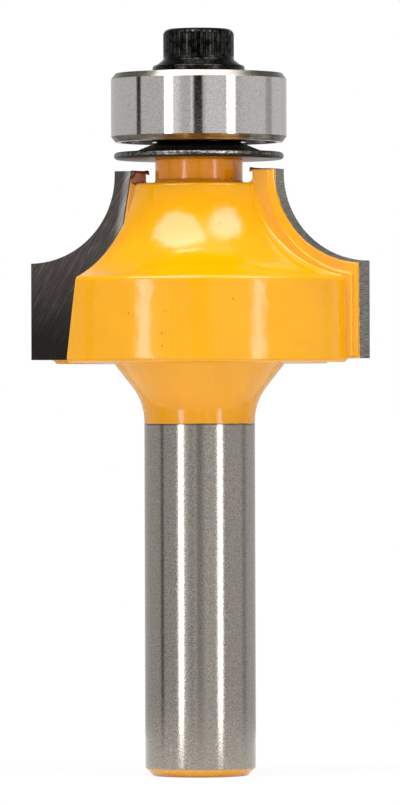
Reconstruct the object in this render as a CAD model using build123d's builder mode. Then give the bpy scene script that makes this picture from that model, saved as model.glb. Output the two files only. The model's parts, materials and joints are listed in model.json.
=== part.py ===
from build123d import *
from math import cos, radians, sin, sqrt, tan
from string import ascii_lowercase
import os

os.makedirs("parts", exist_ok=True)

# Two-wing rounding-over bit with a ball-bearing pilot, in millimetres.
# The origin is the centre of the shank's end face, +Z runs up the tool axis to the pilot screw,
# and X and Y lie across it. Seen from the pilot the bit cuts anticlockwise.

# Pilot bearing, the standard size that the head is built round
bearing_outer_diameter = 12.7
bearing_bore = 4.7625
ball_section_share = 0.6
inner_wall_share = 0.262
outer_wall_share = 0.27
ball_count = 7
race_conformity = 0.525
race_clearance = 0.02
outer_ring_chamfer_height = 0.42
outer_ring_chamfer_depth = 0.32
inner_ring_chamfer = 0.2

# Ribbon cage, shields and the split rings that hold the shields
cage_sheet = 0.18
cage_ball_clearance = 0.05
cage_band_share = 0.4
shield_cage_clearance = 0.16
shield_thickness = 0.2
shield_dish_depth = 0.12
shield_seat_share = 0.32
shield_seat_width = 0.5
shield_fit = 0.02
shield_bore_gap = 0.14
snap_ring_section = 0.26
snap_ring_bite = 0.14
snap_ring_gap_angle = 24.0
snap_ring_gap_azimuth = 20.0
snap_land_width = 0.308

# Shank and the neck-in under the cutting head
shank_diameter = 8.0
shank_length = 25.6
shank_end_chamfer = 0.58
shank_fillet_radius = 4.0
under_cone_angle = 38.2
under_cone_height = 4.2

# Cutting profile: a straight side, a quarter round and a lip level with the bearing's rim
rounding_radius = 6.35
cutter_straight_length = 7.02
cutter_lip_height = 0.3
cutter_bottom_gap = 0.28
edge_azimuth = -15.5
wing_count = 2

# Carbide tips
carbide_thickness = 1.8
carbide_lip_width = 1.31
carbide_inner_lean = 9.4
rounding_relief = 0.2
side_relief = 0.36
lip_relief = 0.16

# Steel rib that backs each tip, standing proud of the depth-limiting body: a thin web level with the
# tip, then a narrower step behind it
rib_thickness = 2.2
rib_web_thickness = 0.12
rib_tip_inset = 0.02
rib_side_inset = 0.74
rib_cove_inset = 0.72
rib_cove_shift_out = 0.2
rib_cove_shift_down = 0.25
rib_corner_round = 0.35
rib_edge_round = 0.18
rib_foot_chamfer_depth = 1.7
rib_foot_chamfer_angle = 22.0

# Depth-limiting body between the wings
limiter_side_inset = 1.1
limiter_cove_inset = 1.28
limiter_top_drop = 1.01
limiter_corner_round = 0.35
limiter_top_round = 0.3
limiter_foot_round = 0.25

# Gullet milled ahead of each tip, square to the rake face; depths are measured in from the edge
gullet_neck_gap = 0.54
gullet_corner_depth = 6.28
gullet_corner_rise = 6.35
gullet_bottom_depth = 5.32
gullet_bow = 0.33
gullet_foot_width = 1.1
gullet_foot_drop = 0.2
gullet_foot_round = 0.36
gullet_run_out = 2.0

# Neck, relief groove round it and the spigot that carries the bearing
neck_shoulder_width = 0.779
neck_rise = 0.75
groove_lip_width = 1.25
groove_corner_round = 0.36
spigot_clearance = 0.012
spigot_setback = 0.35
spigot_chamfer = 0.25

# Slinger washer under the bearing
washer_rim_inset = 0.215
washer_rim_width = 1.335
washer_rim_round = 0.24
washer_disc_thickness = 0.52
washer_cone_height = 0.73
washer_cone_inset = 0.42
washer_bore_clearance = 0.04

# Pilot screw
screw_thread_diameter = 3.0
screw_thread_fit = 0.02
screw_thread_length = 8.0
screw_flange_inset = 0.08
screw_flange_thickness = 0.6
screw_flange_round = 0.22
screw_flare_inset = 0.28
screw_flare_height = 0.4
screw_flare_round = 0.2
screw_head_diameter = 5.12
screw_head_height = 3.22
screw_head_round = 0.48
screw_tip_chamfer = 0.4
knurl_groove_count = 38
knurl_groove_depth = 0.12
knurl_groove_width = 0.28
knurl_base_gap = 0.2
key_size = 2.5
key_sides = 6
key_depth = 1.6
key_drill_angle = 120.0
screw_hole_spare = 1.2
screw_hole_drill_angle = 118.0

# Bearing sizes that follow from its bore and outside: the section between them sets balls and walls
bearing_bore_radius = bearing_bore / 2
bearing_outer_radius = bearing_outer_diameter / 2
bearing_section = bearing_outer_radius - bearing_bore_radius
pitch_radius = (bearing_bore_radius + bearing_outer_radius) / 2
ball_diameter = bearing_section * ball_section_share
ball_radius = ball_diameter / 2
inner_land_radius = bearing_bore_radius + bearing_section * inner_wall_share
outer_land_radius = bearing_outer_radius - bearing_section * outer_wall_share
shield_radius = outer_land_radius + (bearing_outer_radius - outer_land_radius) * shield_seat_share
pocket_radius = ball_radius + cage_ball_clearance
pocket_outer_radius = pocket_radius + cage_sheet
shield_distance = pocket_outer_radius + shield_cage_clearance + shield_dish_depth
shield_outer_distance = shield_distance + shield_thickness
snap_groove_end_distance = shield_outer_distance + snap_ring_section + shield_fit
bearing_width = 2 * (snap_groove_end_distance + snap_land_width)

# Radii of the bit
shank_radius = shank_diameter / 2
spigot_radius = bearing_bore_radius - spigot_clearance
neck_radius = bearing_bore_radius + neck_shoulder_width
lip_radius = bearing_outer_radius
cutting_radius = lip_radius + rounding_radius
rib_foot_radius = cutting_radius - rib_foot_chamfer_depth
groove_outer_radius = lip_radius - groove_lip_width
screw_thread_radius = screw_thread_diameter / 2

# Heights up the bit
head_underside_height = shank_length + under_cone_height
cutter_bottom_height = head_underside_height + cutter_bottom_gap
rounding_centre_height = cutter_bottom_height + cutter_straight_length + rounding_radius
cutter_top_height = rounding_centre_height + cutter_lip_height
limiter_top_height = cutter_top_height - limiter_top_drop
neck_top_height = cutter_top_height + neck_rise
disc_top_height = neck_top_height + washer_disc_thickness
bearing_bottom_height = disc_top_height + washer_cone_height
bearing_middle_height = bearing_bottom_height + bearing_width / 2
bearing_top_height = bearing_bottom_height + bearing_width
screw_head_top_height = bearing_top_height + screw_head_height
screw_tip_height = bearing_top_height - screw_thread_length


def upright_plane(azimuth, setback=0.0):
    """A plane on the axis with +Z up in it, facing backwards from a cutting edge at this azimuth."""
    turn = radians(azimuth)
    outward = Vector(cos(turn), sin(turn), 0)
    backward = Vector(sin(turn), -cos(turn), 0)
    return Plane(origin=backward * setback, x_dir=outward, z_dir=backward)


def height_on_arc(centre_radius, centre_height, arc_radius, at_radius):
    """Height of the lower half of a cove arc where it reaches a given radius."""
    return centre_height - sqrt(arc_radius**2 - (centre_radius - at_radius) ** 2)


def radius_on_arc(centre_radius, centre_height, arc_radius, at_height):
    """Radius of the inner half of a cove arc at a given height."""
    return centre_radius - sqrt(arc_radius**2 - (centre_height - at_height) ** 2)


def cove_arc(centre_radius, centre_height, arc_radius, start, end):
    """A cove arc between two points that lie on it, bent towards the axis and the shank."""
    middle_height = (start[1] + end[1]) / 2
    middle = (radius_on_arc(centre_radius, centre_height, arc_radius, middle_height), middle_height)
    ThreePointArc(start, middle, end)


def carbide_section(plane, cove_relief, straight_relief, top_relief):
    """Outline of a tip at one depth behind its rake face."""
    cove_radius = rounding_radius + cove_relief
    side = cutting_radius - straight_relief
    lip = lip_radius - top_relief
    cove_top = (lip, height_at_lip(cove_radius, lip))
    cove_bottom = (side, height_on_arc(cutting_radius, rounding_centre_height, cove_radius, side))
    tip_height = cutter_top_height - cutter_bottom_height
    inner_top = lip_radius - carbide_lip_width
    inner_bottom = inner_top + tip_height * tan(radians(carbide_inner_lean))
    with BuildSketch(plane) as section:
        with BuildLine():
            Line((inner_top, cutter_top_height), (lip, cutter_top_height))
            Line((lip, cutter_top_height), cove_top)
            cove_arc(cutting_radius, rounding_centre_height, cove_radius, cove_top, cove_bottom)
            Line(cove_bottom, (side, cutter_bottom_height))
            Line((side, cutter_bottom_height), (inner_bottom, cutter_bottom_height))
            Line((inner_bottom, cutter_bottom_height), (inner_top, cutter_top_height))
        make_face()
    return section.sketch


def height_at_lip(cove_radius, lip):
    """Height where the cove of a tip meets its straight pilot lip."""
    return height_on_arc(cutting_radius, rounding_centre_height, cove_radius, lip)


def carbide_tip(azimuth):
    """One carbide tip: a plate whose cutting outline falls away behind the edge."""
    rake_face = carbide_section(upright_plane(azimuth), 0.0, 0.0, 0.0)
    back_plane = upright_plane(azimuth, carbide_thickness)
    back_face = carbide_section(back_plane, rounding_relief, side_relief, lip_relief)
    with BuildPart() as tip:
        loft([rake_face.face(), back_face.face()], ruled=True)
    return tip.part


def rib_section(plane, side_inset, cove_inset, shift_out, shift_down):
    """Outline of a rib, from the axis out to its cove, its side and the chamfer at its foot."""
    side = cutting_radius - side_inset
    cove_radius = rounding_radius + cove_inset
    centre_radius = cutting_radius + shift_out
    centre_height = rounding_centre_height - shift_down
    lip = centre_radius - cove_radius
    cove_top = (lip, centre_height)
    cove_bottom = (side, height_on_arc(centre_radius, centre_height, cove_radius, side))
    foot_rise = (side - rib_foot_radius) * tan(radians(rib_foot_chamfer_angle))
    with BuildSketch(plane) as section:
        with BuildLine():
            Polyline(
                (0, head_underside_height),
                (0, cutter_top_height),
                (lip, cutter_top_height),
                cove_top,
            )
            cove_arc(centre_radius, centre_height, cove_radius, cove_top, cove_bottom)
            Polyline(
                cove_bottom,
                (side, head_underside_height + foot_rise),
                (rib_foot_radius, head_underside_height),
                (0, head_underside_height),
            )
        make_face()
        fillet(section.vertices().group_by(Axis.X)[-1].sort_by(Axis.Y)[-1], rib_corner_round)
    return section.sketch


def wing_rib(azimuth):
    """The steel rib behind a tip: a web that follows the tip's back outline and a round-edged step."""
    web_back = upright_plane(azimuth, carbide_thickness + rib_web_thickness)
    rib_back = upright_plane(azimuth, rib_thickness)
    web = rib_section(web_back, side_relief + rib_tip_inset, rounding_relief + rib_tip_inset, 0, 0)
    step = rib_section(rib_back, rib_side_inset, rib_cove_inset, rib_cove_shift_out, rib_cove_shift_down)
    with BuildPart() as rib:
        extrude(web, amount=-carbide_thickness - rib_web_thickness)
        extrude(step, amount=-rib_thickness)
        back = rib.faces().sort_by(Axis((0, 0, 0), rib_back.z_dir))[-1]
        outer_edges = back.edges().filter_by(lambda edge: edge_is_outboard(edge, azimuth))
        fillet(outer_edges, rib_edge_round)
    return rib.part


def tip_seat(azimuth):
    """The pocket that a tip is brazed into, open ahead, outwards and below."""
    lean = tan(radians(carbide_inner_lean))
    top = (lip_radius - carbide_lip_width, cutter_top_height)
    low_height = head_underside_height - gullet_run_out
    low = (top[0] + (cutter_top_height - low_height) * lean, low_height)
    outer_offset = cutting_radius + gullet_run_out
    with BuildPart() as seat:
        with BuildSketch(upright_plane(azimuth)):
            with BuildLine():
                Polyline(top, low, (outer_offset, low_height), (outer_offset, cutter_top_height), top)
            make_face()
        extrude(amount=carbide_thickness)
    return seat.part


def edge_is_outboard(edge, azimuth):
    """True for the edges along the cove and the side of a rib, which its step leaves free."""
    local = upright_plane(azimuth).to_local_coords(edge @ 0.5)
    is_level = abs((edge @ 1).Z - (edge @ 0).Z) < rib_edge_round
    return local.X > neck_radius and not is_level


def gullet(azimuth):
    """The space milled ahead of a rake face: its floor follows the cove, leans with the side and
    rounds under the head."""
    top_offset = neck_radius + gullet_neck_gap
    bottom_offset = cutting_radius - gullet_bottom_depth
    outer_offset = cutting_radius + gullet_run_out
    top = (top_offset, limiter_top_height)
    corner = (cutting_radius - gullet_corner_depth, head_underside_height + gullet_corner_rise)
    bottom = (bottom_offset, head_underside_height)
    foot_offset = bottom_offset - gullet_foot_width
    under_height = head_underside_height - gullet_run_out
    with BuildPart() as space:
        with BuildSketch(upright_plane(azimuth)) as outline:
            with BuildLine():
                Line((top_offset, neck_top_height), top)
                SagittaArc(top, corner, -gullet_bow)
                Line(corner, bottom)
                Polyline(
                    bottom,
                    (foot_offset, head_underside_height - gullet_foot_drop),
                    (foot_offset, under_height),
                    (outer_offset, under_height),
                    (outer_offset, neck_top_height),
                    (top_offset, neck_top_height),
                )
            make_face()
            fillet(outline.vertices().sort_by_distance(bottom)[0], gullet_foot_round)
        extrude(amount=-outer_offset)
    return space.part


wing_azimuths = [edge_azimuth + index * 360 / wing_count for index in range(wing_count)]
ribs = [wing_rib(azimuth) for azimuth in wing_azimuths]
gullets = [gullet(azimuth) for azimuth in wing_azimuths]
seats = [tip_seat(azimuth) for azimuth in wing_azimuths]
tips = [carbide_tip(azimuth) for azimuth in wing_azimuths]

# Body of the bit: one turned and milled piece of steel from the shank to the bearing spigot
limiter_radius = cutting_radius - limiter_side_inset
limiter_cove_radius = rounding_radius + limiter_cove_inset
limiter_top_radius = radius_on_arc(
    cutting_radius, rounding_centre_height, limiter_cove_radius, limiter_top_height
)
limiter_corner_height = height_on_arc(
    cutting_radius, rounding_centre_height, limiter_cove_radius, limiter_radius
)
fillet_end_height = shank_length + shank_fillet_radius * sin(radians(under_cone_angle))
fillet_end_radius = shank_radius + shank_fillet_radius * (1 - cos(radians(under_cone_angle)))
cone_top_radius = fillet_end_radius + (head_underside_height - fillet_end_height) * tan(
    radians(under_cone_angle)
)
spigot_top_height = bearing_top_height - spigot_setback
screw_hole_radius = screw_thread_radius + screw_thread_fit

with BuildPart() as bit_body:
    with BuildSketch(Plane.XZ):
        with BuildLine():
            Polyline(
                (0, 0),
                (shank_radius - shank_end_chamfer, 0),
                (shank_radius, shank_end_chamfer),
                (shank_radius, shank_length),
            )
            TangentArc(
                (shank_radius, shank_length), (fillet_end_radius, fillet_end_height), tangent=(0, 1)
            )
            Polyline(
                (fillet_end_radius, fillet_end_height),
                (cone_top_radius, head_underside_height),
                (limiter_radius, head_underside_height),
                (limiter_radius, limiter_corner_height),
            )
            cove_arc(
                cutting_radius,
                rounding_centre_height,
                limiter_cove_radius,
                (limiter_radius, limiter_corner_height),
                (limiter_top_radius, limiter_top_height),
            )
            Polyline(
                (limiter_top_radius, limiter_top_height),
                (neck_radius, limiter_top_height),
                (neck_radius, neck_top_height),
                (spigot_radius, neck_top_height),
                (spigot_radius, spigot_top_height - spigot_chamfer),
                (spigot_radius - spigot_chamfer, spigot_top_height),
                (0, spigot_top_height),
                (0, 0),
            )
        make_face()
        fillet(
            vertices().sort_by_distance((limiter_radius, head_underside_height))[0],
            limiter_foot_round,
        )
        fillet(
            vertices().sort_by_distance((limiter_radius, limiter_corner_height))[0],
            limiter_corner_round,
        )
        fillet(
            vertices().sort_by_distance((limiter_top_radius, limiter_top_height))[0],
            limiter_top_round,
        )
    revolve(axis=Axis.Z)
    # Wings, then the gullets ahead of them and the seats of the tips
    add(ribs)
    add(gullets + seats, mode=Mode.SUBTRACT)
    # Round-cornered groove between the neck and the wings
    with BuildSketch(Plane.XZ) as groove:
        with Locations((neck_radius, limiter_top_height)):
            Rectangle(
                groove_outer_radius - neck_radius,
                neck_top_height - limiter_top_height,
                align=(Align.MIN, Align.MIN),
            )
        fillet(groove.vertices().group_by(Axis.Z)[0], groove_corner_round)
    revolve(axis=Axis.Z, mode=Mode.SUBTRACT)
    # Screw hole from the spigot's end, with a drill point
    with Locations(Plane.XY.offset(spigot_top_height)):
        Hole(
            radius=screw_hole_radius,
            depth=spigot_top_height - screw_tip_height + screw_hole_spare,
        )
    drill_point = screw_hole_radius / tan(radians(screw_hole_drill_angle / 2))
    with Locations(Plane.XY.offset(screw_tip_height - screw_hole_spare)):
        Cone(
            0,
            screw_hole_radius,
            drill_point,
            align=(Align.CENTER, Align.CENTER, Align.MAX),
            mode=Mode.SUBTRACT,
        )
bit_body.part.label = "bit_body"
export_step(bit_body.part, "parts/bit_body.step")

# Carbide tips, seated in the wings
for index, tip in enumerate(tips):
    tip.label = f"cutter_{ascii_lowercase[index]}"
    export_step(tip, f"parts/{tip.label}.step")

# Slinger washer: a thin disc that rises as a cone to the bearing's inner ring
washer_bore_radius = spigot_radius + washer_bore_clearance
washer_radius = bearing_outer_radius - washer_rim_inset
washer_cone_base_radius = washer_radius - washer_rim_width
washer_cone_top_radius = inner_land_radius - washer_cone_inset
with BuildPart() as slinger_washer:
    with BuildSketch(Plane.XZ):
        with BuildLine():
            Polyline(
                (washer_bore_radius, neck_top_height),
                (washer_radius, neck_top_height),
                (washer_radius, disc_top_height),
                (washer_cone_base_radius, disc_top_height),
                (washer_cone_top_radius, bearing_bottom_height),
                (washer_bore_radius, bearing_bottom_height),
                close=True,
            )
        make_face()
        rim = vertices().group_by(Axis.X)[-1]
        fillet(rim, washer_rim_round)
    revolve(axis=Axis.Z)
slinger_washer.part.label = "slinger_washer"
export_step(slinger_washer.part, "parts/slinger_washer.step")

# Bearing races: a round-bottomed track in each ring, a little larger than the ball
track_radius = ball_diameter * race_conformity
inner_track_centre = pitch_radius - ball_radius - race_clearance + track_radius
outer_track_centre = pitch_radius + ball_radius + race_clearance - track_radius
with BuildPart() as bearing_inner_ring:
    with BuildSketch(Plane.XZ):
        with Locations(((bearing_bore_radius + inner_land_radius) / 2, bearing_middle_height)):
            Rectangle(inner_land_radius - bearing_bore_radius, bearing_width)
        chamfer(vertices().group_by(Axis.X)[0], inner_ring_chamfer)
        with Locations((inner_track_centre, bearing_middle_height)):
            Circle(track_radius, mode=Mode.SUBTRACT)
    revolve(axis=Axis.Z)
bearing_inner_ring.part.label = "bearing_inner_ring"
export_step(bearing_inner_ring.part, "parts/bearing_inner_ring.step")

# Outer ring: each side has a seat for its shield and a groove for the ring that holds the shield
seat_radius = shield_radius + shield_fit
snap_ring_radius = seat_radius + snap_ring_bite
snap_groove_radius = snap_ring_radius + shield_fit
shield_inner_height = bearing_middle_height + shield_distance
shield_outer_height = bearing_middle_height + shield_outer_distance
snap_groove_end_height = bearing_middle_height + snap_groove_end_distance
with BuildPart() as bearing_outer_ring:
    with BuildSketch(Plane.XZ):
        with BuildLine():
            Polyline(
                (outer_land_radius, bearing_middle_height),
                (outer_land_radius, shield_inner_height),
                (seat_radius, shield_inner_height),
                (seat_radius, shield_outer_height),
                (snap_groove_radius, shield_outer_height),
                (snap_groove_radius, snap_groove_end_height),
                (seat_radius, snap_groove_end_height),
                (seat_radius, bearing_top_height),
                (bearing_outer_radius - outer_ring_chamfer_depth, bearing_top_height),
                (bearing_outer_radius, bearing_top_height - outer_ring_chamfer_height),
                (bearing_outer_radius, bearing_middle_height),
            )
            mirror(about=Plane.XZ.offset(-bearing_middle_height))
        make_face()
        with Locations((outer_track_centre, bearing_middle_height)):
            Circle(track_radius, mode=Mode.SUBTRACT)
    revolve(axis=Axis.Z)
bearing_outer_ring.part.label = "bearing_outer_ring"
export_step(bearing_outer_ring.part, "parts/bearing_outer_ring.step")

# Shields, dished towards the balls, and the split rings that hold them in
shield_bore_radius = inner_land_radius + shield_bore_gap
shield_dish_radius = shield_radius - shield_seat_width
with BuildPart() as shield_upper:
    with BuildSketch(Plane.XZ):
        with BuildLine():
            Polyline(
                (shield_bore_radius, shield_inner_height - shield_dish_depth),
                (shield_dish_radius, shield_inner_height - shield_dish_depth),
                (shield_dish_radius + shield_dish_depth, shield_inner_height),
                (shield_radius, shield_inner_height),
                (shield_radius, shield_outer_height),
                (shield_dish_radius, shield_outer_height),
                (shield_dish_radius - shield_dish_depth, shield_outer_height - shield_dish_depth),
                (shield_bore_radius, shield_outer_height - shield_dish_depth),
                close=True,
            )
        make_face()
    revolve(axis=Axis.Z)

with BuildPart() as snap_ring_upper:
    with BuildSketch(upright_plane(snap_ring_gap_azimuth)):
        with Locations((snap_ring_radius, shield_outer_height)):
            Rectangle(snap_ring_section, snap_ring_section, align=(Align.MAX, Align.MIN))
    revolve(axis=Axis.Z, revolution_arc=360 - snap_ring_gap_angle)

# Ribbon cage: two pressed halves that meet on the middle plane and cup the balls
middle_plane = Plane.XY.offset(bearing_middle_height)
cage_half_band = ball_diameter * cage_band_share / 2
with BuildPart(middle_plane) as cage_upper:
    with PolarLocations(pitch_radius, ball_count):
        Sphere(pocket_outer_radius)
    with BuildSketch(middle_plane):
        Circle(pitch_radius + cage_half_band)
        Circle(pitch_radius - cage_half_band, mode=Mode.SUBTRACT)
    extrude(amount=pocket_outer_radius, mode=Mode.INTERSECT)
    with BuildSketch(middle_plane):
        Circle(pitch_radius + cage_half_band)
        Circle(pitch_radius - cage_half_band, mode=Mode.SUBTRACT)
    extrude(amount=cage_sheet)
    with PolarLocations(pitch_radius, ball_count):
        Sphere(pocket_radius, mode=Mode.SUBTRACT)

# The lower side of the bearing is the upper side mirrored
for upper, name in ((shield_upper, "shield"), (snap_ring_upper, "snap_ring"), (cage_upper, "cage")):
    for side, piece in (("upper", upper.part), ("lower", mirror(upper.part, about=middle_plane))):
        piece.label = f"{name}_{side}"
        export_step(piece, f"parts/{name}_{side}.step")

# Balls
for index, place in enumerate(PolarLocations(pitch_radius, ball_count)):
    with BuildPart() as ball:
        with Locations(middle_plane.location * place):
            Sphere(ball_radius)
    ball.part.label = f"ball_{index + 1}"
    export_step(ball.part, f"parts/ball_{index + 1}.step")

# Pilot screw: flanged cap head, knurled, with a hexagon socket
flange_radius = inner_land_radius - screw_flange_inset
flare_radius = flange_radius - screw_flare_inset
head_radius = screw_head_diameter / 2
flange_top_height = bearing_top_height + screw_flange_thickness
flare_top_height = flange_top_height + screw_flare_height
with BuildPart() as pilot_screw:
    with BuildSketch(Plane.XZ):
        with BuildLine():
            Polyline(
                (0, screw_tip_height),
                (screw_thread_radius - screw_tip_chamfer, screw_tip_height),
                (screw_thread_radius, screw_tip_height + screw_tip_chamfer),
                (screw_thread_radius, bearing_top_height),
                (flange_radius, bearing_top_height),
                (flange_radius, flange_top_height),
                (flare_radius, flange_top_height),
                (head_radius, flare_top_height),
                (head_radius, screw_head_top_height),
                (0, screw_head_top_height),
                close=True,
            )
        make_face()
        fillet(vertices().group_by(Axis.X)[-1], screw_flange_round)
        fillet(vertices().sort_by_distance((head_radius, flare_top_height))[0], screw_flare_round)
        fillet(vertices().sort_by_distance((head_radius, screw_head_top_height))[0], screw_head_round)
    revolve(axis=Axis.Z)
    # Straight knurl round the head
    groove_radius = knurl_groove_width / 2
    with BuildSketch(Plane.XY.offset(flare_top_height + knurl_base_gap)):
        with PolarLocations(head_radius + groove_radius - knurl_groove_depth, knurl_groove_count):
            Circle(groove_radius)
    extrude(amount=screw_head_height, mode=Mode.SUBTRACT)
    # Hexagon socket with a drilled bottom
    with BuildSketch(Plane.XY.offset(screw_head_top_height)):
        RegularPolygon(key_size / 2, key_sides, major_radius=False)
    extrude(amount=-key_depth, mode=Mode.SUBTRACT)
    key_drill_depth = key_size / 2 / tan(radians(key_drill_angle / 2))
    with Locations(Plane.XY.offset(screw_head_top_height - key_depth)):
        Cone(
            0,
            key_size / 2,
            key_drill_depth,
            align=(Align.CENTER, Align.CENTER, Align.MAX),
            mode=Mode.SUBTRACT,
        )
pilot_screw.part.label = "pilot_screw"
export_step(pilot_screw.part, "parts/pilot_screw.step")
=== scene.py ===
"""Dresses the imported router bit: enamel, steel, carbide and black oxide, in a bright product studio."""

import json
import math

import bmesh
import bpy
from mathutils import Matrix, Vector


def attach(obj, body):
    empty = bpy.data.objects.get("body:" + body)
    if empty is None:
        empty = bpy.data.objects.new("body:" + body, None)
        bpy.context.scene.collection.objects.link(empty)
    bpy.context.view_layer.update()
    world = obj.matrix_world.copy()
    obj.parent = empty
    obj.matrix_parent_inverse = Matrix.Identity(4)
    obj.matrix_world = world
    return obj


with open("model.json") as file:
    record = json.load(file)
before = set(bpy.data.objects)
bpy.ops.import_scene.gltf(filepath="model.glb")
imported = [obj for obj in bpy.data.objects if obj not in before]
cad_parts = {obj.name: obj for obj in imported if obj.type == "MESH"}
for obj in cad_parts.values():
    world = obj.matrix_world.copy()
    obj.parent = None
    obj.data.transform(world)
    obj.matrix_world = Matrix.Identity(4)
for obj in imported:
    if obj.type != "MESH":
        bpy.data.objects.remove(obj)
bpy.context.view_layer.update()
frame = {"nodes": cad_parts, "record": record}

MM = 0.001

# The photograph's frame and what it shows of the camera, in pixels
IMAGE_WIDTH_PX = 400
IMAGE_HEIGHT_PX = 805
HORIZON_PX = 423.0
AXIS_AT_MIDDLE_PX = 199.6
HORIZON_ABOVE_PAINT_PX = 0.6
CAMERA_DISTANCE_PX = 7000.0
PIXEL = 0.0723 * MM
CAMERA_ROLL = math.radians(-0.17)
SENSOR_HEIGHT = 24.0
CLIP_NEAR, CLIP_FAR = 0.01, 20.0

# The light tent, in degrees round the bit from the camera and up from level. Bands of elevation are
# (lowest, highest, softness), upright strips (from, to, softness, power), soft boxes (azimuth,
# elevation, size, softness, power), and gaps, of which the camera's own is one, (from, to, softness,
# lowest, highest, depth).
TENT_LEVEL = 0.18
TENT_WALL = 0.22
TENT_HORIZON = 0.22
WALL_BAND = (-60.0, 26.0, 8.0)
HORIZON_BAND = (-20.0, 20.0, 8.0)
STRIP_BAND = (-28.0, 14.0, 3.0)
STRIPS = (
    (-44.8, -35.2, 1.5, 5.6),
    (-36.0, -25.0, 5.0, 0.32),
    (38.4, 47.4, 2.6, 5.6),
    (-10.5, -8.0, 0.8, 0.3),
    (9.0, 36.0, 3.0, 0.18),
    (58.0, 140.0, 8.0, 0.08),
)
SOFT_BOXES = (
    (-48.0, 65.5, 22.0, 4.0, 5.9),
    (52.0, 56.0, 17.0, 7.0, 6.9),
    (0.0, 90.0, 19.0, 6.0, 0.75),
)
TENT_GAPS = (
    (-6.5, 5.0, 1.5, 1.7, 14.0, 1.0),
    (-6.5, 5.0, 1.5, -30.0, 1.7, 0.18),
    (-89.5, -82.0, 1.5, 1.7, 30.0, 0.95),
    (-89.5, -82.0, 1.5, 0.1, 1.7, 0.15),
    (-89.5, -82.0, 1.5, -30.0, 0.1, 0.92),
    (99.0, 112.0, 3.0, -30.0, 30.0, 0.35),
)
GAP_SOFTNESS = 0.4

# The white table: its glow grows from the middle to the rim, by shares of its radius
FLOOR_RADIUS = 0.07
FLOOR_SEGMENTS = 96
FLOOR_COLOUR = (0.8, 0.8, 0.8, 1.0)
FLOOR_ROUGHNESS = 0.8
FLOOR_MIDDLE, FLOOR_RIM = 0.3, 0.95
FLOOR_MIDDLE_GLOW = 0.9

# Places on the bit that the finishes follow, the cells and sizes of their specks, and the rounding of
# enamelled edges, in the part's own millimetres
EDGE_AZIMUTH = math.radians(-15.5)
PAINT_END = 25.42
SHANK_END_PAINT = 0.55
PAINT_BLUR = 0.02
WING_TOP = 43.75
NECK_START = 42.72
GROOVE_RADIUS = 5.1
CARBIDE_THICKNESS = 1.8
TIP_INNER_TOP = 5.04
TIP_INNER_LEAN = math.radians(9.4)
RAKE_POLISH_FROM, RAKE_POLISH_TO = 37.6, 39.6
RAKE_SHADE_FROM, RAKE_SHADE_TO = 38.5, 31.0
WASHER_WORN_FROM, WASHER_WORN_TO = 5.95, 6.05
DUST_CELL, DUST_SIZE = 0.8, 0.07
PIT_CELL, PIT_SIZE = 0.9, 0.035
EDGE_ROUND = 0.18
EDGE_SAMPLES = 8

# The head behind a rake face: coves as centre (out, up) and radius, and depths behind the face
COVE_CENTRE = (12.7, 43.45)
BLANK_COVE = 7.63
WEB_COVE = 6.57
WEB_BACK = 1.92
RIB_CENTRE = (12.9, 43.2)
RIB_COVE = 7.07
RIB_BACK = 2.2
NECK_RADIUS = 3.16
NECK_FOOT = 42.74

# The lip of enamel along the groove: its section as (out, up) from the groove's upper edge, where the
# lengths that hang into the groove are shares of its reach
BURR_SECTION = (
    (0.06, -0.16),
    (0.06, 0.01),
    (-0.6, 0.05),
    (-1.0, -0.03),
    (-1.02, -0.12),
    (-0.5, -0.07),
    (0.04, -0.14),
)
BURR_FROM_DEPTH, BURR_TO_DEPTH = 0.1, 2.26
BURR_STEPS = 36
BURR_REACH, BURR_RAGGED = 0.04, 0.09
BURR_BACK = 0.2
BURR_BACK_REACH = 0.2
BURR_BACK_SWELL = 1.2
BURR_SWOLLEN_FROM = -0.4

# Enamel that has run into corners: how far the pieces sink into the steel, the fillet along the rib's
# foot by the cove's slope in degrees, the cover of the rib's step, and the ring at the neck's foot
BODY = "bit"
SUNK = 0.004
FILLET_FROM, FILLET_SWEEP = 5.6, 75.0
FILLET_RINGS = 48
FILLET_STEPS = 18
FILLET_BALL, FILLET_BALL_PER_DEGREE = 0.9, 0.0088
FILLET_TAPER_FROM, FILLET_TAPER = 5.0, 12.0
FILLET_ROOT = (0.08, 0.06, 0.04)
COVER_SWEEP, COVER_FADE = 62.0, 26.0
COVER_RINGS = 39
COVER_RISE = 0.3
COVER_LIP = 0.01
COVER_BELLY, COVER_BELLY_AT = 0.06, 0.55
COVER_ROOT, COVER_FOOT = 0.05, 0.02
COVER_CREASES = (0, 2, 3, 4)
NECK_FILLET = 0.3
NECK_FILLET_STEPS = 6
NECK_FILLET_SEGMENTS = 96
NECK_FILLET_ROOT = 0.02


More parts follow.
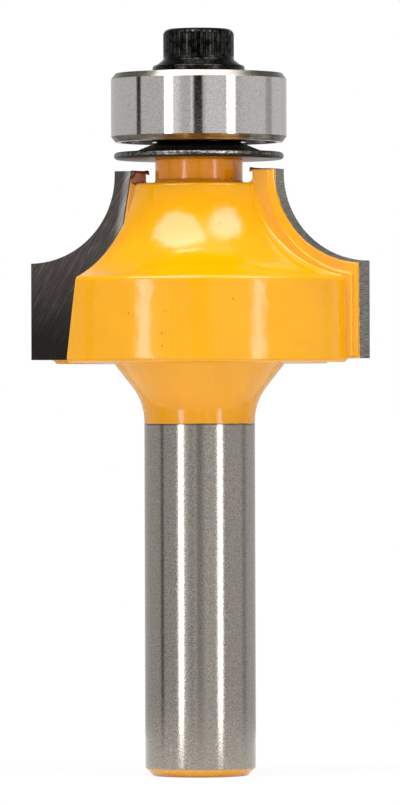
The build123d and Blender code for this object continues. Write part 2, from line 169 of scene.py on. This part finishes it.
class Tree:
    """A thin wrapper that makes shader nodes and joins them in one call."""

    def __init__(self, tree):
        self.nodes = tree.nodes
        self.links = tree.links

    def add(self, kind, *inputs, **settings):
        """A node with its properties set; inputs are values or sockets, in socket order, None to skip."""
        node = self.nodes.new(kind)
        for key, value in settings.items():
            setattr(node, key, value)
        for index, value in enumerate(inputs):
            if value is not None:
                self.set(node.inputs[index], value)
        return node

    def set(self, socket, value):
        if isinstance(value, bpy.types.NodeSocket):
            self.links.new(value, socket)
        elif isinstance(value, bpy.types.Node):
            self.links.new(value.outputs[0], socket)
        else:
            socket.default_value = value

    def math(self, operation, *values):
        return self.add("ShaderNodeMath", *values, operation=operation).outputs[0]

    def step(self, value, low, high):
        """0 below low, 1 above high, smooth between; works with low above high too."""
        node = self.add("ShaderNodeMapRange", interpolation_type="SMOOTHSTEP")
        self.set(node.inputs["Value"], value)
        self.set(node.inputs["From Min"], low)
        self.set(node.inputs["From Max"], high)
        return node.outputs[0]

    def ramp(self, value, *stops):
        """A colour that runs through the stops, each (position, colour)."""
        node = self.add("ShaderNodeValToRGB", value)
        elements = node.color_ramp.elements
        while len(elements) > 1:
            elements.remove(elements[-1])
        elements[0].position, elements[0].color = stops[0]
        for position, colour in stops[1:]:
            elements.new(position).color = colour
        return node.outputs[0]

    def mix(self, factor, first, second):
        """A mix of two colours."""
        node = self.add("ShaderNodeMix", data_type="RGBA")
        self.set(node.inputs[0], factor)
        self.set(node.inputs[6], first)
        self.set(node.inputs[7], second)
        return node.outputs[2]

    def blend(self, factor, first, second):
        """A mix of two numbers."""
        return self.add("ShaderNodeMix", factor, None, first, second).outputs[0]

    def noise(self, vector, scale, detail, roughness=0.5):
        node = self.add("ShaderNodeTexNoise", vector)
        node.inputs["Scale"].default_value = scale
        node.inputs["Detail"].default_value = detail
        node.inputs["Roughness"].default_value = roughness
        return node.outputs["Fac"]

    def stretch(self, vector, scale, turn=(0, 0, 0)):
        """The vector turned, then scaled."""
        turned = self.add("ShaderNodeVectorRotate", vector, rotation_type="EULER_XYZ")
        turned.inputs["Rotation"].default_value = turn
        scaled = self.add("ShaderNodeVectorMath", turned, scale, operation="MULTIPLY")
        return scaled.outputs[0]

    def bump(self, height, strength, distance, normal=None):
        node = self.add("ShaderNodeBump")
        node.inputs["Strength"].default_value = strength
        node.inputs["Distance"].default_value = distance
        self.set(node.inputs["Height"], height)
        if normal is not None:
            self.set(node.inputs["Normal"], normal)
        return node.outputs[0]


def srgb(red, green, blue):
    """A colour as linear RGBA from its 0-255 screen values."""

    def linear(value):
        value /= 255
        return value / 12.92 if value <= 0.04045 else ((value + 0.055) / 1.055) ** 2.4

    return (linear(red), linear(green), linear(blue), 1.0)


def new_material(name):
    material = bpy.data.materials.new(name)
    material.use_nodes = True
    tree = Tree(material.node_tree)
    shader = tree.nodes["Principled BSDF"]
    return material, tree, shader


def millimetres(tree):
    """Object coordinates in millimetres."""
    place = tree.add("ShaderNodeTexCoord").outputs["Object"]
    return tree.add("ShaderNodeVectorMath", place, (1000.0, 1000.0, 1000.0), operation="MULTIPLY").outputs[0]


ENAMEL = srgb(229, 160, 0)
ENAMEL_THIN = srgb(225, 156, 0)
ENAMEL_GROOVE_PAINTED_LIGHT = srgb(255, 162, 0)
ENAMEL_SPECULAR = 0.55
ENAMEL_REFLECTION = (1.0, 0.8, 1.0, 1.0)
ENAMEL_RIPPLE = 5.5
WHITE = (1.0, 1.0, 1.0, 1.0)
DUST = srgb(84, 52, 22)
STEEL = srgb(184, 177, 169)
STEEL_DARK = srgb(136, 128, 119)
STEEL_CLOUD = srgb(160, 156, 142)
STEEL_BURR_AND_SHADOW = srgb(70, 60, 50)
RAKE_DARK = srgb(36, 32, 31)
RAKE_GROUND = srgb(62, 57, 55)
RAKE_SCRATCH = srgb(128, 123, 119)
RAKE_CLOUD = srgb(56, 52, 51)
RAKE_POLISHED = srgb(176, 171, 166)
RAKE_SHADED = srgb(14, 12, 11)
SEAM = srgb(20, 16, 14)
FLANK_DARK = srgb(78, 74, 69)
FLANK_BRIGHT = srgb(158, 152, 144)
SCREW_OXIDE = srgb(12, 12, 12)
SCREW_OXIDE_GREY = srgb(50, 49, 47)
SCREW_RUBBED_HIGHLIGHT = srgb(140, 136, 130)
WASHER_OXIDE = srgb(40, 39, 38)
WASHER_OXIDE_GREY = srgb(64, 62, 60)
WASHER_RIM_HIGHLIGHT = srgb(150, 146, 140)
WASHER_UNDERSIDE_REFLECTION = srgb(158, 154, 150)
RING = srgb(190, 185, 182)
RING_BRIGHT = srgb(220, 216, 214)
RING_CHAMFER_HIGHLIGHT = srgb(226, 222, 214)
RING_PIT = srgb(96, 90, 84)
CHAMFER_BROWN = srgb(104, 96, 84)
CHAMFER_PALE = srgb(160, 151, 138)
CHAMFER_LINE = srgb(70, 63, 54)
SHEET = srgb(176, 172, 168)
SHEET_BRIGHT = srgb(206, 203, 199)


def from_axis(tree, place):
    """The distance from the bit's axis."""
    flat = tree.add("ShaderNodeVectorMath", place, (1, 1, 0), operation="MULTIPLY")
    return tree.add("ShaderNodeVectorMath", flat, operation="LENGTH").outputs["Value"]


def upward(tree):
    """How far the surface faces up: 1 for level and up, -1 for level and down."""
    normal = tree.add("ShaderNodeNewGeometry").outputs["Normal"]
    return tree.add("ShaderNodeSeparateXYZ", normal).outputs["Z"]


def masked(tree, *masks):
    """The product of several masks."""
    result = masks[0]
    for mask in masks[1:]:
        result = tree.math("MULTIPLY", result, mask)
    return result


def dust(tree, place, spacing, size):
    """A mask of small round specks, in about a third of the cells of a loose grid."""
    cells = tree.add("ShaderNodeTexVoronoi", place)
    cells.inputs["Scale"].default_value = 1.0 / spacing
    lot = tree.add("ShaderNodeSeparateColor", cells.outputs["Color"]).outputs["Red"]
    near = tree.step(cells.outputs["Distance"], size / spacing, 0.5 * size / spacing)
    return masked(tree, near, tree.step(lot, 0.62, 0.66))


def body_material(name, edge_round):
    """Gloss enamel over the head, the neck and the shank's end; ground steel on the shank between.
    Edges are rounded in the shading by edge_round, in millimetres, or not at all for 0."""
    material, tree, shader = new_material(name)
    place = millimetres(tree)
    height = tree.add("ShaderNodeSeparateXYZ", place).outputs["Z"]
    radius = from_axis(tree, place)

    # The enamel ends in a clean line round the shank, with a slight waver
    waver = tree.math("MULTIPLY", tree.math("SUBTRACT", tree.noise(place, 0.9, 4), 0.5), 0.1)
    edge = tree.math("ADD", height, waver)
    above = tree.step(edge, PAINT_END - PAINT_BLUR, PAINT_END + PAINT_BLUR)
    below = tree.step(edge, SHANK_END_PAINT + PAINT_BLUR, SHANK_END_PAINT - PAINT_BLUR)
    painted = tree.math("MAXIMUM", above, below)

    # Enamel: a slow mottle from thick to thin, a brighter tone inside the groove that is painted light
    # where the washer shades it, specks of dust, and bare burrs along the top of the wings
    mottle = tree.noise(place, 0.35, 3)
    tone = tree.mix(tree.step(mottle, 0.35, 0.7), ENAMEL, ENAMEL_THIN)
    # Painted light: the groove and neck are lifted to a brighter enamel to make up for the washer's shade
    near_neck = tree.step(radius, GROOVE_RADIUS + 0.1, GROOVE_RADIUS)
    over_head = tree.step(height, NECK_START, NECK_START + PAINT_BLUR)
    tone = tree.mix(masked(tree, near_neck, over_head), tone, ENAMEL_GROOVE_PAINTED_LIGHT)
    tone = tree.mix(masked(tree, dust(tree, place, DUST_CELL, DUST_SIZE), 0.85), tone, DUST)
    ragged = tree.noise(place, 3.0, 4, 0.7)
    on_wing = tree.step(radius, GROOVE_RADIUS - 0.6, GROOVE_RADIUS - 0.5)
    at_top = tree.step(height, WING_TOP - 0.14, WING_TOP - 0.04)
    tone = tree.mix(masked(tree, on_wing, at_top, tree.step(ragged, 0.3, 0.42)), tone, STEEL_BURR_AND_SHADOW)

    # Ground steel: a fine pebbled grain, duller in slow clouds, with a painted shadow just under the
    # enamel's edge
    grain = tree.noise(place, 9.0, 3, 0.75)
    cloud = tree.noise(tree.stretch(place, (1.0, 1.0, 0.35)), 0.8, 3)
    steel = tree.mix(tree.step(grain, 0.3, 0.7), STEEL_DARK, STEEL)
    steel = tree.mix(masked(tree, tree.step(cloud, 0.4, 0.7), 0.35), steel, STEEL_CLOUD)
    # Painted shadow: a dark line on the steel just under the enamel's edge
    painted_shadow_under_edge = masked(tree, tree.step(edge, PAINT_END - 0.16, PAINT_END - 0.04), 0.75)
    steel = tree.mix(painted_shadow_under_edge, steel, STEEL_BURR_AND_SHADOW)

    tree.set(shader.inputs["Base Color"], tree.mix(painted, steel, tone))
    tree.set(shader.inputs["Metallic"], tree.math("SUBTRACT", 1.0, painted))
    steel_rough = tree.math("ADD", 0.09, tree.math("MULTIPLY", grain, 0.08))
    enamel_rough = tree.math("ADD", 0.07, tree.math("MULTIPLY", mottle, 0.1))
    tree.set(shader.inputs["Roughness"], tree.blend(painted, steel_rough, enamel_rough))
    shader.inputs["Specular IOR Level"].default_value = ENAMEL_SPECULAR
    tree.set(shader.inputs["Specular Tint"], tree.mix(painted, WHITE, ENAMEL_REFLECTION))
    ripple = tree.math("MULTIPLY", tree.noise(place, 0.8, 2), ENAMEL_RIPPLE)
    relief = tree.blend(painted, tree.math("MULTIPLY", grain, 0.5), ripple)
    soft_edges = None
    if edge_round:
        soft_edges = tree.add("ShaderNodeBevel", samples=EDGE_SAMPLES)
        soft_edges.inputs["Radius"].default_value = edge_round * MM
    tree.set(shader.inputs["Normal"], tree.bump(relief, 0.3, 0.02 * MM, soft_edges))
    return material


def carbide_material():
    """Ground carbide: slanted scratches on the rake face, level grinding lines on the flank, and a
    ragged edge of enamel over the flank's back."""
    material, tree, shader = new_material("carbide")
    place = millimetres(tree)
    wing = tree.stretch(place, (1, 1, 1), (0, 0, -EDGE_AZIMUTH))
    behind = tree.math("ABSOLUTE", tree.add("ShaderNodeSeparateXYZ", wing).outputs["Y"])
    normal = tree.add("ShaderNodeNewGeometry").outputs["Normal"]
    facing = tree.stretch(normal, (1, 1, 1), (0, 0, -EDGE_AZIMUTH))
    across = tree.math("ABSOLUTE", tree.add("ShaderNodeSeparateXYZ", facing).outputs["Y"])
    on_rake = tree.step(across, 0.9, 0.97)

    slant = tree.stretch(wing, (1, 1, 1), (0, math.radians(-30), 0))
    coarse = tree.noise(tree.stretch(slant, (5.0, 1.0, 0.14)), 2.0, 5, 0.75)
    fine = tree.noise(tree.stretch(slant, (13.0, 1.0, 0.2), (0, -0.12, 0)), 2.6, 4, 0.75)
    cloud = tree.noise(place, 0.5, 3)
    rake = tree.math("ADD", tree.math("MULTIPLY", coarse, 0.5), tree.math("MULTIPLY", fine, 0.5))
    lines = tree.noise(tree.stretch(wing, (0.5, 0.5, 9.0)), 1.9, 4, 0.65)

    # The rake face: brighter scratches on dark carbide, polished beside the braze seam near the top,
    # dark along the seam, and painted shade that darkens it toward the bottom
    rake_tone = tree.ramp(rake, (0.36, RAKE_DARK), (0.52, RAKE_GROUND), (0.66, RAKE_SCRATCH))
    rake_tone = tree.mix(masked(tree, tree.step(cloud, 0.4, 0.7), 0.45), rake_tone, RAKE_CLOUD)
    height = tree.add("ShaderNodeSeparateXYZ", place).outputs["Z"]
    outward = tree.math("ABSOLUTE", tree.add("ShaderNodeSeparateXYZ", wing).outputs["X"])
    drop = tree.math("SUBTRACT", WING_TOP, height)
    seam = tree.math("ADD", TIP_INNER_TOP, tree.math("MULTIPLY", drop, math.tan(TIP_INNER_LEAN)))
    off_seam = tree.math("SUBTRACT", outward, seam)
    upper = tree.step(height, RAKE_POLISH_FROM, RAKE_POLISH_TO)
    polished = masked(tree, tree.step(off_seam, 0.7, 0.15), upper, tree.step(rake, 0.4, 0.54), 0.6)
    rake_tone = tree.mix(polished, rake_tone, RAKE_POLISHED)
    rake_tone = tree.mix(masked(tree, tree.step(off_seam, 0.1, 0.04), upper), rake_tone, SEAM)
    # Painted shade: the rake face is darkened toward the bottom, where its reflection is dark
    painted_shade_low = tree.math("MULTIPLY", tree.step(height, RAKE_SHADE_FROM, RAKE_SHADE_TO), 0.85)
    rake_tone = tree.mix(painted_shade_low, rake_tone, RAKE_SHADED)

    flank_tone = tree.ramp(lines, (0.35, FLANK_DARK), (0.6, FLANK_BRIGHT))
    metal = tree.mix(on_rake, flank_tone, rake_tone)
    ragged = tree.math("MULTIPLY", tree.math("SUBTRACT", tree.noise(place, 2.2, 4, 0.7), 0.45), 0.5)
    reach = tree.math("ADD", behind, ragged)
    paint = tree.step(reach, CARBIDE_THICKNESS - 0.1, CARBIDE_THICKNESS - 0.06)
    tree.set(shader.inputs["Base Color"], tree.mix(paint, metal, ENAMEL))
    tree.set(shader.inputs["Metallic"], tree.math("SUBTRACT", 0.95, tree.math("MULTIPLY", paint, 0.95)))
    tree.set(shader.inputs["Roughness"], tree.math("ADD", 0.26, tree.math("MULTIPLY", rake, 0.25)))
    relief = tree.blend(on_rake, lines, rake)
    tree.set(shader.inputs["Normal"], tree.bump(relief, 0.4, 0.01 * MM))
    return material


def oxide_material():
    """Glossy black oxide of the pilot screw, rubbed a little brighter on its edges, partly as painted
    highlights.
    """
    material, tree, shader = new_material("black_oxide")
    place = millimetres(tree)
    patch = tree.noise(place, 2.2, 5, 0.65)
    pits = tree.noise(place, 7.0, 3, 0.7)
    # Wear and painted highlights: the screw's sharp edges are lightened in patches
    sharp_edges = tree.step(tree.add("ShaderNodeNewGeometry").outputs["Pointiness"], 0.54, 0.66)
    wear_and_highlights = masked(tree, sharp_edges, tree.step(patch, 0.5, 0.7), 0.6)
    tone = tree.mix(tree.step(patch, 0.35, 0.65), SCREW_OXIDE, SCREW_OXIDE_GREY)
    tree.set(shader.inputs["Base Color"], tree.mix(wear_and_highlights, tone, SCREW_RUBBED_HIGHLIGHT))
    shader.inputs["Metallic"].default_value = 1.0
    tree.set(shader.inputs["Roughness"], tree.math("ADD", 0.07, tree.math("MULTIPLY", patch, 0.14)))
    tree.set(shader.inputs["Normal"], tree.bump(tree.math("ADD", patch, pits), 0.5, 0.02 * MM))
    return material


def washer_material():
    """Black oxide over a pebbled sheet, grey along the rim as wear and a painted highlight, and lighter on
    the underside as a painted reflection.
    """
    material, tree, shader = new_material("oxide_worn_and_painted_light")
    place = millimetres(tree)
    pebble = tree.noise(place, 4.5, 4, 0.7)
    patch = tree.noise(place, 1.3, 4, 0.6)
    slope = upward(tree)
    outer = tree.step(from_axis(tree, place), WASHER_WORN_FROM, WASHER_WORN_TO)
    # Painted highlight on the worn rim, and a painted reflection of the white table on the underside
    rim_wear_and_highlight = masked(tree, outer, tree.step(slope, -0.35, -0.05), tree.step(slope, 0.9, 0.5))
    underside_reflection = tree.step(slope, -0.75, -0.95)
    tone = tree.mix(patch, WASHER_OXIDE, WASHER_OXIDE_GREY)
    tone = tree.mix(masked(tree, rim_wear_and_highlight, tree.step(pebble, 0.38, 0.62), 0.85), tone, WASHER_RIM_HIGHLIGHT)
    tone = tree.mix(masked(tree, underside_reflection, tree.step(pebble, 0.3, 0.65)), tone, WASHER_UNDERSIDE_REFLECTION)
    tree.set(shader.inputs["Base Color"], tone)
    shader.inputs["Metallic"].default_value = 1.0
    tree.set(shader.inputs["Roughness"], tree.math("ADD", 0.22, tree.math("MULTIPLY", pebble, 0.2)))
    tree.set(shader.inputs["Normal"], tree.bump(pebble, 0.4, 0.015 * MM))
    return material


def bearing_material():
    """Bearing steel, fine ground with a faint speckle; the chamfers are rougher and a darker brown-grey,
    with a painted highlight on the upper ones.
    """
    material, tree, shader = new_material("bearing_steel")
    place = millimetres(tree)
    speckle = tree.noise(place, 8.0, 3, 0.7)
    cloud = tree.noise(place, 0.9, 4)
    pits = dust(tree, place, PIT_CELL, PIT_SIZE)
    slope = upward(tree)
    steep = tree.math("ABSOLUTE", slope)
    on_chamfer = masked(tree, tree.step(steep, 0.3, 0.5), tree.step(steep, 0.98, 0.9))
    turned = tree.noise(tree.stretch(place, (0.3, 0.3, 8.0)), 1.6, 3, 0.6)
    tone = tree.mix(tree.step(speckle, 0.3, 0.7), RING, RING_BRIGHT)
    chamfer_tone = tree.mix(tree.step(cloud, 0.35, 0.65), CHAMFER_BROWN, CHAMFER_PALE)
    chamfer_tone = tree.mix(masked(tree, tree.step(turned, 0.4, 0.6), 0.6), chamfer_tone, CHAMFER_LINE)
    # Painted highlight: the upward-facing chamfers are lifted a quarter of the way to a pale tone, as the
    # light from above would
    chamfer_tone = tree.mix(tree.step(slope, 0.4, 0.6), chamfer_tone, tree.mix(0.25, chamfer_tone, RING_CHAMFER_HIGHLIGHT))
    tone = tree.mix(on_chamfer, tone, chamfer_tone)
    tone = tree.mix(masked(tree, pits, 0.7), tone, RING_PIT)
    tree.set(shader.inputs["Base Color"], tone)
    shader.inputs["Metallic"].default_value = 1.0
    rough = tree.math("ADD", 0.045, tree.math("MULTIPLY", speckle, 0.04))
    tree.set(shader.inputs["Roughness"], tree.math("ADD", rough, tree.math("MULTIPLY", on_chamfer, 0.22)))
    tree.set(shader.inputs["Normal"], tree.bump(tree.blend(on_chamfer, speckle, turned), 0.12, 0.01 * MM))
    return material


def pressed_material():
    """Bright pressed sheet for the shields, split rings and cage."""
    material, tree, shader = new_material("pressed_steel")
    place = millimetres(tree)
    cloud = tree.noise(place, 1.5, 4)
    tree.set(shader.inputs["Base Color"], tree.mix(cloud, SHEET, SHEET_BRIGHT))
    shader.inputs["Metallic"].default_value = 1.0
    tree.set(shader.inputs["Roughness"], tree.math("ADD", 0.22, tree.math("MULTIPLY", cloud, 0.12)))
    tree.set(shader.inputs["Normal"], tree.bump(cloud, 0.15, 0.005 * MM))
    return material


def dress_nodes():
    """Gives every node of the part the finish of its material slot, and the washer one worn on its rim with
    painted highlight and reflection.
    """
    finishes = {
        "enamelled_steel": body_material("enamelled_steel", EDGE_ROUND),
        "carbide": carbide_material(),
        "black_oxide": oxide_material(),
        "bearing_steel": bearing_material(),
        "pressed_steel": pressed_material(),
    }
    wear_and_highlights = {"slinger_washer": washer_material()}
    for subpart in frame["record"]["subparts"]:
        node = frame["nodes"][subpart["node"]]
        node.data.materials.clear()
        node.data.materials.append(wear_and_highlights.get(subpart["node"], finishes[subpart["material_slot"]]))


def swept(shape, rings, creases=()):
    """Adds a closed skin over rings of points in millimetres, capped at both ends. The creases are
    the corners of a ring whose edges along the skin stay sharp."""
    loops = [[shape.verts.new([value * MM for value in place]) for place in ring] for ring in rings]
    for first, second in zip(loops, loops[1:]):
        for index, corner in enumerate(first):
            after = (index + 1) % len(first)
            shape.faces.new((corner, first[after], second[after], second[index]))
        for index in creases:
            shape.edges.get((first[index], second[index])).smooth = False
    for cap in (loops[0], loops[-1]):
        for edge in shape.faces.new(cap).edges:
            edge.smooth = False


def enamel_piece(name, shape, material):
    """Makes the bmesh a smooth enamelled piece that rides with the bit."""
    bmesh.ops.recalc_face_normals(shape, faces=shape.faces)
    for face in shape.faces:
        face.smooth = True
    mesh = bpy.data.meshes.new(name)
    shape.to_mesh(mesh)
    shape.free()
    mesh.materials.append(material)
    piece = bpy.data.objects.new(name, mesh)
    bpy.context.collection.objects.link(piece)
    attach(piece, BODY)


def in_wing(wing, along, depth, height):
    """A place in a wing's own directions, as x, y and z."""
    turn = EDGE_AZIMUTH + math.pi * wing
    x = along * math.cos(turn) + depth * math.sin(turn)
    y = along * math.sin(turn) - depth * math.cos(turn)
    return (x, y, height)


def on_cove(centre, radius, slope):
    """The distance from the axis and the height of a point on a cove arc."""
    return centre[0] - radius * math.cos(slope), centre[1] - radius * math.sin(slope)


def cove_fillet(wing, degrees):
    """One ring of the rolling-ball fillet between the blank's cove and the back of a rib."""
    slope = math.radians(degrees)
    taper = min(1.0, (degrees - FILLET_TAPER_FROM) / FILLET_TAPER)
    ball = (FILLET_BALL - FILLET_BALL_PER_DEGREE * degrees) * taper
    reach, height = on_cove(COVE_CENTRE, BLANK_COVE - ball, slope)
    depth = RIB_BACK + ball - SUNK
    turn = math.asin(depth / reach)
    foot_reach, foot_height = on_cove(COVE_CENTRE, BLANK_COVE + SUNK, slope)
    centre = Vector((reach * math.cos(turn), depth, height))
    first = Vector((centre.x, RIB_BACK - SUNK, height)) - centre
    last = Vector((foot_reach * math.cos(turn), foot_reach * math.sin(turn), foot_height)) - centre
    first, last = first.normalized(), last.normalized()
    ring = [centre + first.slerp(last, index / FILLET_STEPS) * ball for index in range(FILLET_STEPS + 1)]
    corner = Vector((math.sqrt(foot_reach**2 - RIB_BACK**2), RIB_BACK, foot_height))
    ring.append(corner - Vector(FILLET_ROOT))
    return [in_wing(wing, *place) for place in ring]


def step_cover(wing, inner, outer, foot, full):
    """One ring of the enamel over a rib's step: from the rib's back to the web's edge where full is 1,
    shrunk into the foot of the step where it is 0."""
    root = WEB_BACK - COVER_FOOT

    def toward(place, depth):
        along = foot[0] + (place[0] - foot[0]) * full
        height = foot[1] + (place[1] - foot[1]) * full
        return in_wing(wing, along, root + (depth - root) * full, height)

    belly = tuple(near + (far - near) * COVER_BELLY_AT for near, far in zip(inner, outer))
    return [
        toward(inner, RIB_BACK - SUNK),
        toward(belly, (RIB_BACK + WEB_BACK) / 2 + COVER_BELLY),
        toward(outer, WEB_BACK - SUNK),
        toward(outer, WEB_BACK - COVER_ROOT),
        toward(inner, WEB_BACK - COVER_ROOT),
    ]


def step_run(wing):
    """The rings of the cover along a rib's step, from the wing's top down the cove."""
    rings = []
    foot = RIB_CENTRE[0] - RIB_COVE
    web = COVE_CENTRE[0] - WEB_COVE
    for height in (WING_TOP - COVER_LIP, WING_TOP - COVER_RISE):
        inner, outer = (foot - COVER_RISE, height), (web - COVER_LIP, height)
        rings.append(step_cover(wing, inner, outer, (foot, height), 1.0))
    for index in range(COVER_RINGS + 1):
        degrees = COVER_SWEEP * index / COVER_RINGS
        full = min(1.0, (COVER_SWEEP - degrees) / COVER_FADE)
        slope = math.radians(degrees)
        inner = on_cove(RIB_CENTRE, RIB_COVE + COVER_RISE, slope)
        outer = on_cove(COVE_CENTRE, WEB_COVE + COVER_LIP, slope)
        rings.append(step_cover(wing, inner, outer, on_cove(RIB_CENTRE, RIB_COVE, slope), full))
    return rings


def enamel_flow(material):
    """Enamel that has run into the inner corners behind each wing: a long fillet where the rib rises
    from the blank's cove, and a cover over the upper part of the rib's step, which it fades out."""
    shape = bmesh.new()
    for wing in range(2):
        slopes = [FILLET_FROM + FILLET_SWEEP * index / FILLET_RINGS for index in range(FILLET_RINGS + 1)]
        fillet = [cove_fillet(wing, slope) for slope in slopes]
        swept(shape, fillet, (0, FILLET_STEPS, FILLET_STEPS + 1))
        swept(shape, step_run(wing), COVER_CREASES)
    enamel_piece("enamel_flow", shape, material)


def enamel_burrs(material):
    """The ragged lip of enamel over the groove along each wing's top, longest and thickest at the
    back."""
    shape = bmesh.new()
    for wing in range(2):
        rings = []
        for index in range(BURR_STEPS + 1):
            along = index / BURR_STEPS
            depth = BURR_FROM_DEPTH + (BURR_TO_DEPTH - BURR_FROM_DEPTH) * along
            turn = EDGE_AZIMUTH + math.pi * wing - math.asin(depth / GROOVE_RADIUS)
            ragged = 0.5 + 0.3 * math.sin(17.0 * along + wing) + 0.2 * math.sin(41.0 * along)
            at_back = max(0.0, along - (1.0 - BURR_BACK)) / BURR_BACK
            reach = BURR_REACH + BURR_RAGGED * ragged + BURR_BACK_REACH * at_back
            swell = 1.0 + BURR_BACK_SWELL * at_back
            ring = []
            for out, up in BURR_SECTION:
                radius = GROOVE_RADIUS + (out * reach if out < 0 else out)
                height = WING_TOP + (up * swell if out < BURR_SWOLLEN_FROM else up)
                ring.append((radius * math.cos(turn), radius * math.sin(turn), height))
            rings.append(ring)
        swept(shape, rings)
    enamel_piece("enamel_burrs", shape, material)


def neck_fillet(material):
    """The enamel that rounds the corner between the neck and the head."""
    shape = bmesh.new()
    section = []
    for index in range(NECK_FILLET_STEPS + 1):
        turn = math.pi / 2 * index / NECK_FILLET_STEPS
        across = NECK_RADIUS + NECK_FILLET * (1 - math.cos(turn))
        section.append((across, NECK_FOOT + NECK_FILLET * (1 - math.sin(turn))))
    section.append((NECK_RADIUS - NECK_FILLET_ROOT, NECK_FOOT - NECK_FILLET_ROOT))
    corners = [shape.verts.new((radius * MM, 0.0, height * MM)) for radius, height in section]
    edges = [shape.edges.new(ends) for ends in zip(corners, corners[1:] + corners[:1])]
    bmesh.ops.spin(
        shape,
        geom=corners + edges,
        cent=(0, 0, 0),
        axis=(0, 0, 1),
        angle=math.tau,
        steps=NECK_FILLET_SEGMENTS,
        use_merge=True,
    )
    enamel_piece("neck_fillet", shape, material)


def studio_floor():
    """A round white table with the bit's shadow on it; its rim melts into the white tent."""
    material, tree, shader = new_material("studio_floor")
    shader.inputs["Base Color"].default_value = FLOOR_COLOUR
    shader.inputs["Roughness"].default_value = FLOOR_ROUGHNESS
    path = tree.add("ShaderNodeLightPath")
    seen = tree.math("MAXIMUM", path.outputs["Is Camera Ray"], path.outputs["Is Glossy Ray"])
    seen = tree.math("MAXIMUM", seen, path.outputs["Is Transmission Ray"])
    glow = tree.add("ShaderNodeEmission", WHITE, 1.0)
    place = tree.add("ShaderNodeTexCoord").outputs["Object"]
    out = tree.add("ShaderNodeVectorMath", place, operation="LENGTH").outputs["Value"]
    toward_rim = tree.step(out, FLOOR_MIDDLE * FLOOR_RADIUS, FLOOR_RIM * FLOOR_RADIUS)
    share = tree.math("MULTIPLY", seen, tree.blend(toward_rim, FLOOR_MIDDLE_GLOW, 1.0))
    surface = tree.add("ShaderNodeMixShader", share, shader, glow)
    tree.set(tree.nodes["Material Output"].inputs["Surface"], surface)
    mesh = bpy.data.meshes.new("studio_floor")
    disc = bmesh.new()
    bmesh.ops.create_circle(disc, cap_ends=True, segments=FLOOR_SEGMENTS, radius=FLOOR_RADIUS)
    disc.to_mesh(mesh)
    disc.free()
    mesh.materials.append(material)
    floor = bpy.data.objects.new("studio_floor", mesh)
    bpy.context.collection.objects.link(floor)


def studio_light():
    """A light tent with upright strips and soft boxes above, as the reflections show them."""
    world = bpy.data.worlds.new("studio")
    bpy.context.scene.world = world
    world.use_nodes = True
    tree = Tree(world.node_tree)
    direction = tree.add("ShaderNodeTexCoord").outputs["Generated"]
    split = tree.add("ShaderNodeSeparateXYZ", direction)
    toward = tree.math("MULTIPLY", split.outputs["Y"], -1.0)
    azimuth = tree.math("DEGREES", tree.math("ARCTAN2", split.outputs["X"], toward))
    elevation = tree.math("DEGREES", tree.math("ARCSINE", split.outputs["Z"]))

    def band(value, low, high, soft):
        rise = tree.step(value, low - soft, low + soft)
        fall = tree.step(value, high + soft, high - soft)
        return tree.math("MULTIPLY", rise, fall)

    def disc(azimuth_deg, elevation_deg, size_deg, soft):
        """A soft round light in one direction."""
        turn, lift = math.radians(azimuth_deg), math.radians(elevation_deg)
        centre = (math.cos(lift) * math.sin(turn), -math.cos(lift) * math.cos(turn), math.sin(lift))
        aim = tree.add("ShaderNodeVectorMath", direction, centre, operation="DOT_PRODUCT").outputs["Value"]
        off = tree.math("DEGREES", tree.math("ARCCOSINE", aim))
        return tree.step(off, size_deg + soft, size_deg - soft)

    wall = tree.math("MULTIPLY", band(elevation, *WALL_BAND), TENT_WALL)
    horizon = tree.math("MULTIPLY", band(elevation, *HORIZON_BAND), TENT_HORIZON)
    level = tree.math("ADD", TENT_LEVEL, tree.math("ADD", wall, horizon))
    standing = band(elevation, *STRIP_BAND)
    for low, high, soft, power in STRIPS:
        strip = masked(tree, band(azimuth, low, high, soft), standing)
        level = tree.math("ADD", level, tree.math("MULTIPLY", strip, power))
    for azimuth_deg, elevation_deg, size_deg, soft, power in SOFT_BOXES:
        box = disc(azimuth_deg, elevation_deg, size_deg, soft)
        level = tree.math("ADD", level, tree.math("MULTIPLY", box, power))
    for low, high, soft, lowest, highest, depth in TENT_GAPS:
        across = band(azimuth, low, high, soft)
        gap = masked(tree, across, band(elevation, lowest, highest, GAP_SOFTNESS), depth)
        level = tree.math("MULTIPLY", level, tree.math("SUBTRACT", 1.0, gap))
    path = tree.add("ShaderNodeLightPath")
    background = tree.nodes["Background"]
    background.inputs["Color"].default_value = WHITE
    tree.set(background.inputs["Strength"], tree.blend(path.outputs["Is Camera Ray"], level, 1.0))


def place_camera():
    """Level with the shank's upper end, far off, as the photograph's straight edges show."""
    camera_data = bpy.data.cameras.new("camera")
    camera = bpy.data.objects.new("camera", camera_data)
    bpy.context.collection.objects.link(camera)
    bpy.context.scene.camera = camera
    distance = CAMERA_DISTANCE_PX * PIXEL
    horizon_height = PAINT_END * MM + HORIZON_ABOVE_PAINT_PX * PIXEL
    middle_height = horizon_height + (HORIZON_PX - IMAGE_HEIGHT_PX / 2) * PIXEL
    aside = (IMAGE_WIDTH_PX / 2 - AXIS_AT_MIDDLE_PX) * PIXEL
    camera.location = (aside, -distance, horizon_height)
    target = Vector((aside, 0.0, middle_height))
    aim = (target - camera.location).to_track_quat("-Z", "Y").to_euler()
    camera.rotation_euler = aim
    camera.rotation_euler.rotate_axis("Z", CAMERA_ROLL)
    camera_data.sensor_fit = "VERTICAL"
    camera_data.sensor_height = SENSOR_HEIGHT
    camera_data.lens = SENSOR_HEIGHT * CAMERA_DISTANCE_PX / IMAGE_HEIGHT_PX
    camera_data.clip_start = CLIP_NEAR
    camera_data.clip_end = CLIP_FAR


dress_nodes()
enamel = body_material("enamel", 0)
enamel_burrs(enamel)
neck_fillet(enamel)
enamel_flow(enamel)
studio_floor()
studio_light()
place_camera()
bpy.context.scene.view_settings.view_transform = "Standard"
